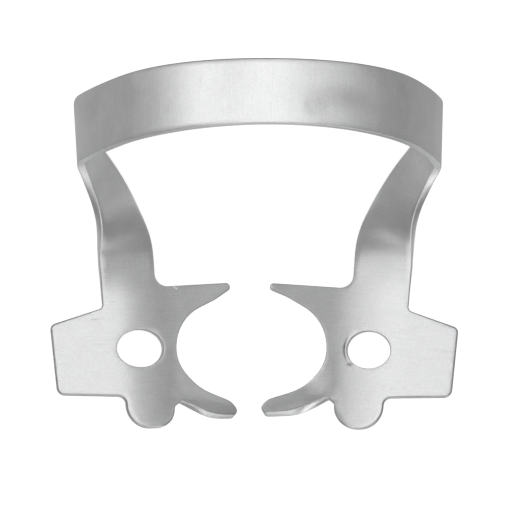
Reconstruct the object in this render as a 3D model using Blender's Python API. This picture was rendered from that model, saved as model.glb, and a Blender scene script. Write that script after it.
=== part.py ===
"""Winged rubber dam clamp. One strip of spring steel is stamped flat, with a jaw at each end, then
bent into a bow. The blank lives in two coordinates: u runs along the strip from the crown of the
bow to a jaw (negative towards the left jaw), v runs across it. All sizes are in millimetres."""

import math

import bmesh
import bpy
import numpy as np
from mathutils import Vector
from mathutils.geometry import delaunay_2d_cdt

MM = 0.001

THICKNESS = 0.58
CROWN_WIDTH = 4.2
SIDE_WIDTH = 4.4
NECK_WIDTH = 3.56
CROWN_TAPER = 10.0  # run over which the strip widens from the crown
NECK_TAPER = 9.5  # run before the jaw over which it narrows again
NECK_STRAIGHT = 3.0
LEG_BULGE = 0.16  # how much wider the leg is on its cheek side near the jaw
LEG_BULGE_BACK = 5.5  # distance before the jaw at which that begins, and the run over which it grows
LEG_BULGE_RUN = 3.0

# The strip from the middle of the crown to a jaw: each length with the angles it is bent inwards,
# turned forward in its own plane and twisted through, in degrees.
CROWN = (6.4, 38.0, 0.0, 0.0)
HAUNCH = (5.6, 26.5, 0.0, 0.0)
SIDE = (6.9, 12.0, -1.5, -2.5)
CORNER = (3.6, 47.0, 56.0, 3.5)
LEG = (4.7, 0.0, 25.0, 28.0)
NECK = (3.0, 0.0, 16.5, 24.5)
BEND_EASE = 0.9  # half the length over which one bend runs into the next

# Outline of a jaw: v to the cheek side (positive) or the tooth (negative), p forward of the neck.
WING_REACH = 5.2
WING_BACK = 3.66
WING_FRONT = 8.32
WING_SLANT = 0.93  # how far the back edge runs forward from neck to corner
WING_LEAN = 0.2  # how far the outer edge leans in towards the front
WING_DIP = 0.36  # how far the front edge runs forward towards the tab
WING_BACK_ROUND = 0.42
WING_FRONT_ROUND = 0.55
WING_ROOT_ROUND = 0.35
TAB_MIDDLE = -1.03
TAB_WIDTH = 3.3
TAB_FRONT = 10.83
TAB_ROUND = 0.48  # as a share of the tab's width
TAB_ROOT_ROUND = 0.5
ARCH_SIDE = 3.2  # from the neck's middle line to the deepest point of the tooth arch
ARCH_BACK = 3.7  # where the back prong's flank meets the line of the arch
ARCH_FRONT = 6.6
ARCH_RADIUS = 2.4
HAUNCH_SIDE = 1.4  # from the arch to the corner where the front prong's flank begins
HAUNCH_FRONT = 8.33
PRONG_REACH = 7.4
PRONG_ROUND = 0.24
BACK_PRONG_BACK = 1.22
BACK_PRONG_SLANT = 0.24  # how much further forward its back edge starts
BACK_PRONG_TIP = 0.45
BACK_PRONG_ROOT = 0.85
BACK_PRONG_ROUND = 0.22
FRONT_PRONG_FRONT = 10.27
FRONT_PRONG_TIP = 0.6
FRONT_PRONG_SHORT = 0.2  # how far its tip stays behind that of the back prong
NOTCH_GAP = 0.4  # between the tab's side and the bottom of the notch beside it
NOTCH_BACK = 9.03
NOTCH_ROUND = 0.2
NOTCH_MOUTH = 0.3  # length of the slanting side of the notch
BROW_SIDE = 2.45  # from the tab's side to where the front prong's edge curves
BROW_BACK = 0.19
BROW_ROUND = 1.6
HOLE_ALONG = 2.52
HOLE_V = -0.58
HOLE_P = 5.51

# What differs between the two jaws: side, shift of the jaw and further reach of its prongs towards
# the tooth, width of the hole, how far the front prong is set back as a whole and at its tip, and the
# degrees that this prong is rolled at its root and at its tip.
LEFT_JAW = (-1.0, -0.06, -0.17, 3.15, -0.14, 0.16, 30.0, 28.0)
RIGHT_JAW = (1.0, 0.06, 0.17, 2.88, 0.14, 0.0, 42.0, 14.0)

# Form of a jaw, measured from the plane of the neck.
WING_LEVEL = 12.5  # degrees that the wing is bent back to lie level
WING_LEVEL_FROM = 0.6
WING_LEVEL_EASE = 0.8
WING_LEVEL_RUN = 2.6  # distance from the neck over which that bend comes in
PRONG_DIP = 8.0  # degrees that both prongs are bent down
PRONG_DIP_FROM = 2.4
PRONG_DIP_EASE = 0.6
ROLL_MIDDLE = 9.1  # p of the front prong's middle line at its root
ROLL_RISE = 0.2  # how fast that line runs forward towards the tip
ROLL_HALF = 0.5  # half the width that is rolled
ROLL_EASE = 0.5
ROLL_FROM = 2.3  # v at which the roll begins, and the width over which it comes in
ROLL_WIDTH = 2.4
ROLL_BACK = 5.5  # p at which it begins, and the length over which it comes in
ROLL_RUN = 2.5

CRISP = 0.09  # edge rounding of the bow, legs and prongs
SOFT = 0.25  # edge rounding of wings and tabs
HOLE_EDGE = 0.12

STATION = 0.62  # spacing of the sections along the strip
CELLS_ACROSS = 5
JAW_GRID = 0.8
ARC_STEP = 18.0
SLIVER = 1e-6
SHORTEST = 0.06  # points of an outline closer than this are one
GRID_MARGIN = 0.34  # room left between the grid over a jaw and its edges
HOLE_SIDES = 28
FRAME_STEP = 0.05


def smooth(a):
    a = np.clip(a, 0.0, 1.0)
    return a * a * (3.0 - 2.0 * a)


def ramp(a, width):
    """Zero below nought, then rising one for one, with a rounded start."""
    return 0.5 * (a + np.sqrt(a * a + width * width))


def strip_rates(s):
    """Bend, turn and twist of the strip per millimetre, at distances s from the crown."""
    rows = (CROWN, HAUNCH, SIDE, CORNER, LEG, NECK)
    rates = np.zeros((len(s), 3))
    start = 0.0
    for number, (length, *angles) in enumerate(rows):
        end = start + length
        if number == len(rows) - 1:
            end -= BEND_EASE
        part = 1.0 - smooth(0.5 + 0.5 * (s - end) / BEND_EASE)
        if number:
            part = part - (1.0 - smooth(0.5 + 0.5 * (s - start) / BEND_EASE))
        rates += part[:, None] * np.radians(angles)[None, :] / (end - start)
        start = end
    return rates


RUN = CROWN[0] + HAUNCH[0] + SIDE[0] + CORNER[0] + LEG[0] + NECK[0]


def strip_frames():
    """Places and directions along the right half of the strip: along it, across it, out of it."""
    count = int(math.ceil(RUN / FRAME_STEP))
    step = RUN / count
    middle = (np.arange(count) + 0.5) * step
    bend, turn, twist = strip_rates(middle).T
    axes = np.array([[1.0, 0.0, 0.0], [0.0, -1.0, 0.0], [0.0, 0.0, 1.0]])
    along, across, out = axes
    place = np.zeros(3)
    rows = [(place, along, across, out)]
    for b, g, t in zip(bend * step, turn * step, twist * step):
        before = along
        along, across, out = (
            along - b * out + g * across,
            across - g * along + t * out,
            out + b * along - t * across,
        )
        along = along / np.linalg.norm(along)
        across = across - along * across.dot(along)
        across = across / np.linalg.norm(across)
        out = out - along * out.dot(along) - across * out.dot(across)
        out = out / np.linalg.norm(out)
        place = place + 0.5 * step * (before + along)
        rows.append((place, along, across, out))
    return np.linspace(0.0, RUN, count + 1), [np.array(kind) for kind in zip(*rows)]


def strip_width(s):
    to_side = smooth(s / CROWN_TAPER)
    to_neck = smooth((s - (RUN - NECK_TAPER)) / (NECK_TAPER - NECK_STRAIGHT))
    return CROWN_WIDTH + (SIDE_WIDTH - CROWN_WIDTH) * to_side + (NECK_WIDTH - SIDE_WIDTH) * to_neck


def cheek_edge(s):
    return 0.5 * strip_width(s) + LEG_BULGE * smooth((s - RUN + LEG_BULGE_BACK) / LEG_BULGE_RUN)


def jaw_drop(side, p, v):
    """How far a jaw lies below the plane of its neck; side is positive on the right jaw."""
    wing = math.tan(math.radians(WING_LEVEL)) * ramp(v - WING_LEVEL_FROM, WING_LEVEL_EASE)
    wing = wing * smooth(p / WING_LEVEL_RUN)
    dip = math.tan(math.radians(PRONG_DIP)) * ramp(-v - PRONG_DIP_FROM, PRONG_DIP_EASE)
    dip = dip * smooth(p / BACK_PRONG_BACK)
    tip_share = smooth((-v - ARCH_SIDE) / (PRONG_REACH - ARCH_SIDE))
    off_middle = ROLL_MIDDLE + ROLL_RISE * (-v - ARCH_SIDE) - p
    off_middle = off_middle - ramp(off_middle - ROLL_HALF, ROLL_EASE)
    gate = smooth((-v - ROLL_FROM) / ROLL_WIDTH) * smooth((p - ROLL_BACK) / ROLL_RUN)
    left, right = (
        math.tan(math.radians(jaw[6])) * (1.0 - tip_share) + math.tan(math.radians(jaw[7])) * tip_share
        for jaw in (LEFT_JAW, RIGHT_JAW)
    )
    return wing + dip + gate * off_middle * np.where(side > 0.0, right, left)


STATIONS, (PLACE, ALONG, ACROSS, OUT) = strip_frames()


def bent(u, v, h):
    """Carry points of the flat blank, at height h over its middle, onto the bent strip."""
    s = np.abs(u)
    inside = np.minimum(s, RUN)
    place, along, across, out = (
        np.stack([np.interp(inside, STATIONS, kind[:, i]) for i in range(3)], 1)
        for kind in (PLACE, ALONG, ACROSS, OUT)
    )
    _, turn, twist = strip_rates(inside).T
    turn, twist = (np.where(s > RUN, 0.0, rate) for rate in (turn, twist))
    p = np.maximum(s - RUN, 0.0)
    tiny = 1e-4
    drop = np.where(s > RUN, jaw_drop(u, p, v), 0.0)
    rise_v = np.where(s > RUN, (jaw_drop(u, p, v + tiny) - drop) / tiny, 0.0)
    rise_s = np.where(s > RUN, (jaw_drop(u, p + tiny, v) - drop) / tiny, v * twist)
    stretch = 1.0 - turn * v
    normal = stretch[:, None] * (out - rise_v[:, None] * across) - rise_s[:, None] * along
    normal = normal / np.linalg.norm(normal, axis=1)[:, None]
    point = place + v[:, None] * across + p[:, None] * along
    point = point + drop[:, None] * out + h[:, None] * normal
    point[:, 0] = np.where(u < 0, -point[:, 0], point[:, 0])
    return point


def rounded(corners, longest):
    """Points of a line through corners (v, p, radius, edge rounding) with its corners rounded off."""
    spots = [Vector(corner[:2]) for corner in corners]
    lengths = [(ahead - here).length for here, ahead in zip(spots, spots[1:])]
    aims = [(ahead - here).normalized() for here, ahead in zip(spots, spots[1:])]
    turns = [0.0] + [before.angle_signed(ahead) for before, ahead in zip(aims, aims[1:])] + [0.0]
    cuts = [corner[2] * math.tan(0.5 * abs(turn)) for corner, turn in zip(corners, turns)]
    pairs = zip(lengths, cuts, cuts[1:])
    fits = [min(1.0, length / (a + b)) for length, a, b in pairs if a + b > 0.0]
    shares = [min(a, b) for a, b in zip([1.0] + fits, fits + [1.0])]
    points = []
    befores = aims[:1] + aims
    for corner, spot, turn, share, before in zip(corners, spots, turns, shares, befores):
        radius = share * corner[2]
        if radius == 0.0:
            points.append((spot.x, spot.y, corner[3]))
            continue
        side = 1.0 if turn > 0.0 else -1.0
        toward = Vector((before.y, -before.x)) * side
        start = spot - before * radius * math.tan(0.5 * abs(turn))
        count = max(2, math.ceil(math.degrees(abs(turn)) / ARC_STEP))
        for i in range(count + 1):
            angle = abs(turn) * i / count
            ahead = radius * math.sin(angle)
            place = start + before * ahead + toward * (radius - radius * math.cos(angle))
            points.append((place.x, place.y, corner[3]))
    path = points[:1]
    for point in points[1:]:
        last = path[-1]
        gap = math.dist(point[:2], last[:2])
        pieces = math.ceil(gap / longest) if gap > SHORTEST else 0
        for i in range(1, pieces + 1):
            path.append(tuple(a + (b - a) * i / pieces for a, b in zip(last, point)))
    return path


def jaw_outline(shift, reach, set_back, tip_back):
    """A jaw's edge from the neck's cheek side, round wing, tab, prongs and arch, to its tooth side."""
    neck = 0.5 * NECK_WIDTH
    wing = WING_REACH - shift
    tab_out = TAB_MIDDLE + 0.5 * TAB_WIDTH - shift
    tab_in = tab_out - TAB_WIDTH
    tab_round = TAB_ROUND * TAB_WIDTH
    arch = -ARCH_SIDE - shift - reach
    tip = -PRONG_REACH - shift - reach
    front_tip = tip + FRONT_PRONG_SHORT
    front = FRONT_PRONG_FRONT - set_back
    return rounded(
        (
            (neck + LEG_BULGE, 0.0, 0.0, CRISP),
            (neck, WING_BACK - WING_SLANT, WING_ROOT_ROUND, CRISP),
            (wing, WING_BACK, WING_BACK_ROUND, SOFT),
            (wing - WING_LEAN, WING_FRONT, WING_FRONT_ROUND, SOFT),
            (tab_out, WING_FRONT + WING_DIP, TAB_ROOT_ROUND, SOFT),
            (tab_out, TAB_FRONT, tab_round, SOFT),
            (tab_in, TAB_FRONT, tab_round, SOFT),
            (tab_in, NOTCH_BACK + NOTCH_MOUTH - set_back, NOTCH_ROUND, CRISP),
            (tab_in - NOTCH_GAP, NOTCH_BACK - set_back, NOTCH_ROUND, CRISP),
            (tab_in - BROW_SIDE, front - BROW_BACK, BROW_ROUND, CRISP),
            (front_tip, front - tip_back, PRONG_ROUND, CRISP),
            (front_tip, front - tip_back - FRONT_PRONG_TIP, PRONG_ROUND, CRISP),
            (arch - HAUNCH_SIDE, HAUNCH_FRONT, ARCH_RADIUS, CRISP),
            (arch, ARCH_FRONT, ARCH_RADIUS, CRISP),
            (arch, ARCH_BACK, ARCH_RADIUS, CRISP),
            (tip, BACK_PRONG_BACK + BACK_PRONG_TIP, BACK_PRONG_ROUND, CRISP),
            (tip, BACK_PRONG_BACK, BACK_PRONG_ROUND, CRISP),
            (-neck, BACK_PRONG_BACK + BACK_PRONG_SLANT, BACK_PRONG_ROOT, CRISP),
            (-neck, 0.0, 0.0, CRISP),
        ),
        JAW_GRID,
    )


def blank_loops():
    """Edge of the whole blank and of its two holes, as rows of u, v and edge rounding."""
    count = math.ceil(RUN / STATION)
    s = np.linspace(0.0, RUN, count + 1)[:-1]
    crisp = np.full(count, CRISP)
    front = np.stack([s, cheek_edge(s), crisp], 1)
    back = np.stack([s, -0.5 * strip_width(s), crisp], 1)[::-1]
    flip = np.array([-1.0, 1.0, 1.0])
    jaws = []
    holes = []
    for side, shift, reach, hole_across, set_back, tip_back, _, _ in (RIGHT_JAW, LEFT_JAW):
        edge = jaw_outline(shift, reach, set_back, tip_back)
        jaws.append(np.array([(RUN + p, v, rounding) for v, p, rounding in edge]))
        angle = side * 2.0 * math.pi * np.arange(HOLE_SIDES) / HOLE_SIDES
        u = side * (RUN + HOLE_P + 0.5 * HOLE_ALONG * np.cos(angle))
        v = HOLE_V - shift + 0.5 * hole_across * np.sin(angle)
        holes.append(np.stack([u, v, np.full(HOLE_SIDES, HOLE_EDGE)], 1))
    right = [front, jaws[0], back]
    left = [(back * flip)[::-1][1:], (jaws[1] * flip)[::-1], (front * flip)[::-1][:-1]]
    return [np.concatenate(right + left)] + holes


def inward(points):
    """Directions into the sheet at the points of a loop that keeps the sheet on its right."""
    ahead = np.roll(points, -1, axis=0) - points
    ahead = ahead / np.linalg.norm(ahead, axis=1)[:, None]
    normal = np.stack([ahead[:, 1], -ahead[:, 0]], 1)
    both = normal + np.roll(normal, 1, axis=0)
    return both / (0.5 * (both * both).sum(1))[:, None]


def inside_of(points, loop):
    """Whether each point lies within a closed loop."""
    x, y = points[:, 0, None], points[:, 1, None]
    x0, y0 = loop.T
    x1, y1 = np.roll(loop, -1, axis=0).T
    crossing = (y0 > y) != (y1 > y)
    reach = (x1 - x0) * (y - y0) / np.where(y1 == y0, 1.0, y1 - y0) + x0
    return (crossing & (x < reach)).sum(1) % 2 == 1


def inner_points(rims):
    """Points over the blank between its rims: rows across the strip, a grid over the jaws."""
    count = math.ceil(RUN / STATION)
    s = np.linspace(0.0, RUN, count + 1)
    share = np.arange(1, CELLS_ACROSS) / CELLS_ACROSS - 0.5
    across = share[None, :] * (strip_width(s) - 2.0 * CRISP)[:, None]
    strip = np.stack([np.repeat(s, len(share)), across.ravel()], 1)
    furthest = np.abs(rims[0]).max(0)
    pitch = JAW_GRID * math.sqrt(0.75)
    rows = np.arange(-math.ceil(furthest[1] / JAW_GRID), math.ceil(furthest[1] / JAW_GRID))
    columns = np.arange(1, math.ceil((furthest[0] - RUN) / pitch))
    grid = [(RUN + pitch * c, JAW_GRID * (r + 0.5 * (c % 2))) for c in columns for r in rows]
    half = np.concatenate([strip, np.array(grid)])
    points = np.concatenate([half, (half * np.array([-1.0, 1.0]))[len(share):]])
    keep = inside_of(points, rims[0])
    for rim in rims[1:]:
        keep &= ~inside_of(points, rim)
    edge = np.concatenate(rims)
    jaw = np.abs(points[:, 0]) > RUN + SHORTEST
    gap = np.array([np.linalg.norm(edge - point, axis=1).min() for point in points])
    return points[keep & (~jaw | (gap > GRID_MARGIN))]


def clamp_mesh():
    """Corners and faces of the closed sheet, in millimetres."""
    loops = blank_loops()
    rims = []
    rings = [[] for _ in range(6)]
    half = 0.5 * THICKNESS
    for loop in loops:
        points, edge = loop[:, :2], loop[:, 2]
        normal = inward(points)
        diagonal = 1.0 - math.sqrt(0.5)
        profile = ((edge, half), (diagonal * edge, half - diagonal * edge), (0.0 * edge, half - edge))
        for number, (inset, height) in enumerate(profile):
            ring = points + normal * inset[:, None]
            height = np.broadcast_to(height, edge.shape)
            rings[number].append(np.column_stack([ring, height]))
            rings[5 - number].append(np.column_stack([ring, -height]))
        rims.append(points + normal * edge[:, None])
    flat = np.concatenate(rims)
    inner = inner_points(rims)
    ties = []
    start = 0
    for rim in rims:
        ties += [(start + i, start + (i + 1) % len(rim)) for i in range(len(rim))]
        start += len(rim)
    everything = np.concatenate([flat, inner])
    found = delaunay_2d_cdt([Vector(point) for point in everything], ties, [], 0, 1e-6)
    came_from = []
    for spot, origins in zip(found[0], found[3]):
        nearest = np.linalg.norm(everything - np.array(spot), axis=1).argmin()
        came_from.append(origins[0] if origins else nearest)
    triangles = np.array([[came_from[i] for i in face] for face in found[2]])
    a, b, c = (everything[triangles[:, i]] for i in range(3))
    middle = (a + b + c) / 3.0
    (x0, y0), (x1, y1) = (b - a).T, (c - a).T
    area = 0.5 * np.abs(x0 * y1 - y0 * x1)
    keep = inside_of(middle, rims[0]) & (area > SLIVER)
    for rim in rims[1:]:
        keep &= ~inside_of(middle, rim)
    triangles = triangles[keep]
    blank = [np.concatenate(ring) for ring in rings]
    level = np.full((len(inner), 1), half)
    blank.append(np.hstack([inner, level]))
    blank.append(np.hstack([inner, -level]))
    blank = np.concatenate(blank)
    corners = bent(blank[:, 0], blank[:, 1], blank[:, 2])
    count = len(flat)
    upper = np.where(triangles < count, triangles, triangles + 5 * count)
    lower = np.where(triangles < count, triangles, triangles + len(inner)) + 5 * count
    faces = upper[:, ::-1].tolist() + lower.tolist()
    for number in range(5):
        faces += [
            (number * count + a, (number + 1) * count + a, (number + 1) * count + b, number * count + b)
            for a, b in ties
        ]
    return corners, faces


def centre_of_mass(corners, faces):
    """Centre of the enclosed volume, from the pyramids its triangles make with the origin."""
    triangles = []
    for face in faces:
        triangles += [(face[0], face[i], face[i + 1]) for i in range(1, len(face) - 1)]
    a, b, c = (corners[[triangle[i] for triangle in triangles]] for i in range(3))
    volume = (a * np.cross(b, c)).sum(1) / 6.0
    return ((a + b + c) * volume[:, None]).sum(0) / 4.0 / volume.sum()


def set_down(corners, faces):
    """Lay the clamp level on the two lines under it that its weight settles onto."""
    centre = centre_of_mass(corners, faces)
    outline = sorted({(round(y, 4), round(z, 4)) for _, y, z in corners})
    under = []
    for point in outline:
        while len(under) > 1:
            (y0, z0), (y1, z1) = under[-2:]
            if (y1 - y0) * (point[1] - z0) > (z1 - z0) * (point[0] - y0):
                break
            under.pop()
        under.append(point)
    poses = []
    for (y0, z0), (y1, z1) in zip(under, under[1:]):
        length = math.hypot(y1 - y0, z1 - z0)
        cosine, sine = (y1 - y0) / length, (z1 - z0) / length
        along = (centre[1] - y0) * cosine + (centre[2] - z0) * sine
        if 0.0 <= along <= length:
            poses.append(((centre[2] - z0) * cosine - (centre[1] - y0) * sine, cosine, sine))
    _, cosine, sine = min(poses)
    x, y, z = corners.T
    laid = np.stack([x, y * cosine + z * sine, z * cosine - y * sine], 1)
    low, high = laid.min(0), laid.max(0)
    return laid - np.array([0.5 * (low[0] + high[0]), 0.5 * (low[1] + high[1]), low[2]])


def build():
    for old in list(bpy.data.objects):
        bpy.data.objects.remove(old, do_unlink=True)
    corners, faces = clamp_mesh()
    corners = set_down(corners, faces) * MM
    mesh = bpy.data.meshes.new("clamp")
    mesh.from_pydata(corners.tolist(), [], faces)
    work = bmesh.new()
    work.from_mesh(mesh)
    bmesh.ops.recalc_face_normals(work, faces=work.faces)
    work.to_mesh(mesh)
    work.free()
    mesh.shade_smooth()
    mesh.set_sharp_from_angle(angle=math.radians(50.0))
    steel = bpy.data.materials.new("satin_steel")
    steel.use_nodes = True
    shader = steel.node_tree.nodes["Principled BSDF"]
    shader.inputs["Base Color"].default_value = (0.62, 0.62, 0.63, 1.0)
    shader.inputs["Roughness"].default_value = 0.32
    shader.inputs["Metallic"].default_value = 1.0
    mesh.materials.append(steel)
    clamp = bpy.data.objects.new("clamp", mesh)
    bpy.context.scene.collection.objects.link(clamp)


build()
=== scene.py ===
"""Looks of a winged rubber dam clamp. A flat steel blank is drawn in two coordinates, u along the
strip from the crown of the bow to a jaw (negative to the left) and v across it, and a node tree
then bends it into the clamp. Sizes are in millimetres until the piece is set down."""

import math

import bpy
import numpy as np
from mathutils import Matrix, Vector
from mathutils.geometry import delaunay_2d_cdt


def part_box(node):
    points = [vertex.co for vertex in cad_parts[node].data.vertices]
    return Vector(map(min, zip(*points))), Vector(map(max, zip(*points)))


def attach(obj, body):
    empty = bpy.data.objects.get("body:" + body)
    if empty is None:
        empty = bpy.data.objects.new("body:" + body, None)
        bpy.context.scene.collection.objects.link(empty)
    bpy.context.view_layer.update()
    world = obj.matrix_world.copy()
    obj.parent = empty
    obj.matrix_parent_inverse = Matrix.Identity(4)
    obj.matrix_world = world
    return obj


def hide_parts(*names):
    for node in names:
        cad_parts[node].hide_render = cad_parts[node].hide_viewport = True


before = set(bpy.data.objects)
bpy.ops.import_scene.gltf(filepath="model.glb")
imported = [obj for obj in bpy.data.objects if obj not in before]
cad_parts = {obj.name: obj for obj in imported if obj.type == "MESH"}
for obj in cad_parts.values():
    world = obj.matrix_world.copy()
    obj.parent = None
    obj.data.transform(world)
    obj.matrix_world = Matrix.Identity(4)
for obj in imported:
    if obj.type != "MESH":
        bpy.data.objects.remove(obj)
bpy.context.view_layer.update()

MM = 0.001

# The strip: its thickness, its width at the crown, down the sides and at the neck, the distances from
# the crown and from the jaw over which the width changes, the straight stretch beside the jaw, and how
# the leg bulges before the neck on its cheek side.
THICKNESS = 0.58
CROWN_WIDTH = 4.2
SIDE_WIDTH = 4.4
NECK_WIDTH = 3.56
CROWN_TAPER = 10.0
NECK_TAPER = 9.5
NECK_STRAIGHT = 3.0
LEG_BULGE = 0.16
LEG_BULGE_BACK = 5.5
LEG_BULGE_RUN = 3.0

# The strip from the middle of the crown to a jaw: each length with the angles it is bent inwards,
# turned forward in its own plane and twisted through, in degrees.
CROWN = (6.4, 38.0, 0.0, 0.0)
HAUNCH = (5.6, 26.5, 0.0, 0.0)
SIDE = (6.9, 12.0, -1.5, -2.5)
CORNER = (3.6, 47.0, 56.0, 3.5)
LEG = (4.7, 0.0, 25.0, 28.0)
NECK = (3.0, 0.0, 16.5, 24.5)
BEND_EASE = 0.9
RUN = CROWN[0] + HAUNCH[0] + SIDE[0] + CORNER[0] + LEG[0] + NECK[0]

# Outline of a jaw: v to the cheek side (positive) or the tooth (negative), p forward of the neck.
WING_REACH = 5.2
WING_BACK = 3.66
WING_FRONT = 8.32
WING_SLANT = 0.93
WING_LEAN = 0.2
WING_DIP = 0.36
WING_BACK_ROUND = 0.42
WING_FRONT_ROUND = 0.55
WING_ROOT_ROUND = 0.35
TAB_MIDDLE = -1.03
TAB_WIDTH = 3.3
TAB_FRONT = 10.83
TAB_ROUND = 0.48
TAB_ROOT_ROUND = 0.5
ARCH_SIDE = 3.2
ARCH_BACK = 3.7
ARCH_FRONT = 6.6
ARCH_RADIUS = 2.6
ARCH_BACK_RADIUS = 3.3
HAUNCH_SIDE = 1.4
HAUNCH_FRONT = 8.24
HAUNCH_RADIUS = 4.0
FLANK_SIDE = 1.15
FLANK_RADIUS = 2.5
PRONG_REACH = 7.33
BACK_PRONG_BACK = 1.22
BACK_PRONG_SLANT = 0.24
BACK_PRONG_TIP = 0.45
BACK_PRONG_ROOT = 0.85
BACK_PRONG_ROUND = 0.26
FRONT_PRONG_FRONT = 10.27
FRONT_PRONG_TIP = 1.05
FRONT_PRONG_SLANT = 0.62
FRONT_PRONG_FRONT_ROUND = 0.4
FRONT_PRONG_BACK_ROUND = 1.0
NOTCH_GAP = 0.4
NOTCH_BACK = 9.03
NOTCH_ROUND = 0.2
NOTCH_MOUTH = 0.3
BROW_SIDE = 2.45
BROW_BACK = 0.19
BROW_ROUND = 3.2
HOLE_ALONG = 2.52
HOLE_V = -0.58
HOLE_P = 5.51

# What differs between the two jaws: the shift of the jaw and the further reach of its prongs towards
# the tooth, the width of the hole, how far the front prong is set back as a whole and at its tip, and
# how far that tip stops short of the back prong's before rounding, being negative where it goes past.
# Then how much wider the neck is on its tooth side, the fullness of the back prong's flank, and the
# degrees that the front prong is rolled at its root and at its tip.
LEFT_JAW = {
    "side": -1.0,
    "shift": -0.06,
    "reach": -0.17,
    "hole_across": 3.15,
    "set_back": -0.14,
    "tip_back": 0.16,
    "short": -0.18,
    "wider": 0.0,
    "flank": 1.15,
    "root_roll": 38.0,
    "tip_roll": 30.0,
}
RIGHT_JAW = {
    "side": 1.0,
    "shift": 0.06,
    "reach": 0.17,
    "hole_across": 2.88,
    "set_back": 0.14,
    "tip_back": 0.0,
    "short": -0.38,
    "wider": 0.15,
    "flank": 0.88,
    "root_roll": 56.0,
    "tip_roll": 42.0,
}

# Form of a jaw, measured from the plane of the neck: the wing levels outwards, the prongs dip, and the
# front prong rolls about a line down its middle. The angles are in degrees.
WING_LEVEL = 12.5
WING_LEVEL_FROM = 0.6
WING_LEVEL_EASE = 1.1
WING_LEVEL_RUN = 2.6
PRONG_DIP = 8.0
PRONG_DIP_FROM = 2.4
PRONG_DIP_EASE = 1.3
ROLL_MIDDLE = 9.1
ROLL_RISE = 0.2
ROLL_HALF = 0.16
ROLL_EASE = 0.5
ROLL_FROM = 2.4
ROLL_WIDTH = 2.4
ROLL_BACK = 5.0
ROLL_RUN = 3.4

# Finish of the steel: its tone, the share of that tone in green and blue, its roughness, how much the
# brushing spreads it one way, and the strength and the depth in metres of the fine relief.
STEEL_TONE = 0.62
GREEN_SHARE = 1.004
BLUE_SHARE = 1.012
STEEL_ROUGHNESS = 0.38
BRUSHING = 0.81
BUMP_STRENGTH = 0.4
BUMP_DEPTH = 0.00002

# Patterns of the finish, each with its detail, its fineness along u, v and the height, and its
# distortion, if it has one. The grain runs across the strip.
GRAIN = (4.0, (16.0, 0.55, 3.0))
FINE = (2.0, (45.0, 1.6, 8.0))
SPECKLE = (3.0, (11.0, 9.0, 11.0))
BLOTCH = (3.0, (1.9, 1.5, 1.9), 0.5)
CLOUD = (3.0, (0.5, 0.5, 0.5), 0.4)
SCRATCH_FINENESS = (9.0, 0.35, 9.0)
SCRATCH_DETAIL = 6.0
SCRATCH_ROUGHNESS = 0.8
SCRATCH_FROM = 0.63
SCRATCH_EASE = 0.1

# How much each pattern changes the tone, the roughness and the relief. Scratches and the nick go into
# the relief, and the burr stands out of it.
TONE_OF = {"grain": 0.12, "fine": 0.09, "speckle": 0.2, "blotch": 0.05, "cloud": 0.13}
ROUGHNESS_OF = {"cloud": 0.08, "grain": 0.1, "blotch": 0.05}
RELIEF_OF = {"grain": 0.7, "fine": 0.5, "speckle": 0.6, "scratch": 0.5, "nick": 1.5, "burr": 2.0}

# Marks of making and handling, each with its place u, v and its half size, and how much it darkens
# the steel: a smudge and a hazy patch on the crown, and a spot beside the right hole.
SMUDGE = ((2.35, 1.0), (1.2, 0.9))
HAZE = ((4.0, 0.2), (3.2, 1.2))
SPOT = ((36.75, -1.8), (0.24, 0.36))
SMUDGE_DEPTH = 0.3
HAZE_DEPTH = 0.14
SPOT_DEPTH = 0.7
SCRATCH_DEPTH = 0.06
HAZE_LEAST = 0.5  # added to the blotches, so that the haze has no clear gaps
ANY_HEIGHT = 1000.0  # half size of a mark through the sheet, so large that the height does not count

# A nick at the root of the left back prong, as a row of small bright places.
NICK = ((-31.67, -3.02), (-31.73, -3.12), (-31.79, -3.22))
NICK_SIZE = (0.12, 0.12)
NICK_LIFT = 0.35

# A burr on the tooth side of the right hole, measured in hole radii: its ring and half width, how far
# towards the tooth it starts and over what length it grows. Then how much blotches strengthen it, and
# how much it darkens and roughens the steel.
BURR_RING = 1.11
BURR_WIDTH = 0.09
BURR_FROM = 0.86
BURR_EASE = 0.24
BURR_BLOTCH = 1.7
BURR_DEPTH = 0.36
BURR_ROUGHNESS = 0.2

# Painted shade and a painted highlight on a stretch of each leg, by distance from the crown, chosen to
# bring its tones nearer to the photo; the shaded stretch is also made rougher. Then painted shade on the
# rounded rim of the jaws, by depth below the face. Each has its start, its end, and the lengths over
# which it rises after the start and falls after the end.
SHADE_AND_DULL_BEND = (22.6, 25.0, 1.4, 1.4)
PAINTED_HIGHLIGHT_BEND = (25.4, 28.0, 1.2, 1.2)
# Painted shade on the rounded rim of the jaws: the depth band below the face, then how much it darkens.
PAINTED_RIM_BAND = (0.003, 0.04, 0.012, 0.07)
PAINTED_SHADE_DEPTH = 0.06
DULL_ROUGHNESS = 0.08
PAINTED_HIGHLIGHT_LIFT = 0.08
PAINTED_RIM_SHADE = 0.3

# Degrees that the jaws rise forward when the clamp stands on its back prongs and its legs.
REST_TILT = 14.5566

# Radius of the rounding between face and rim: at strip and prongs, at wing and tab, and at the holes.
CRISP = 0.09
SOFT = 0.15
HOLE_EDGE = 0.05
EDGE_BLEND = 0.8  # length over which a crisp edge runs into a soft one

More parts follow.
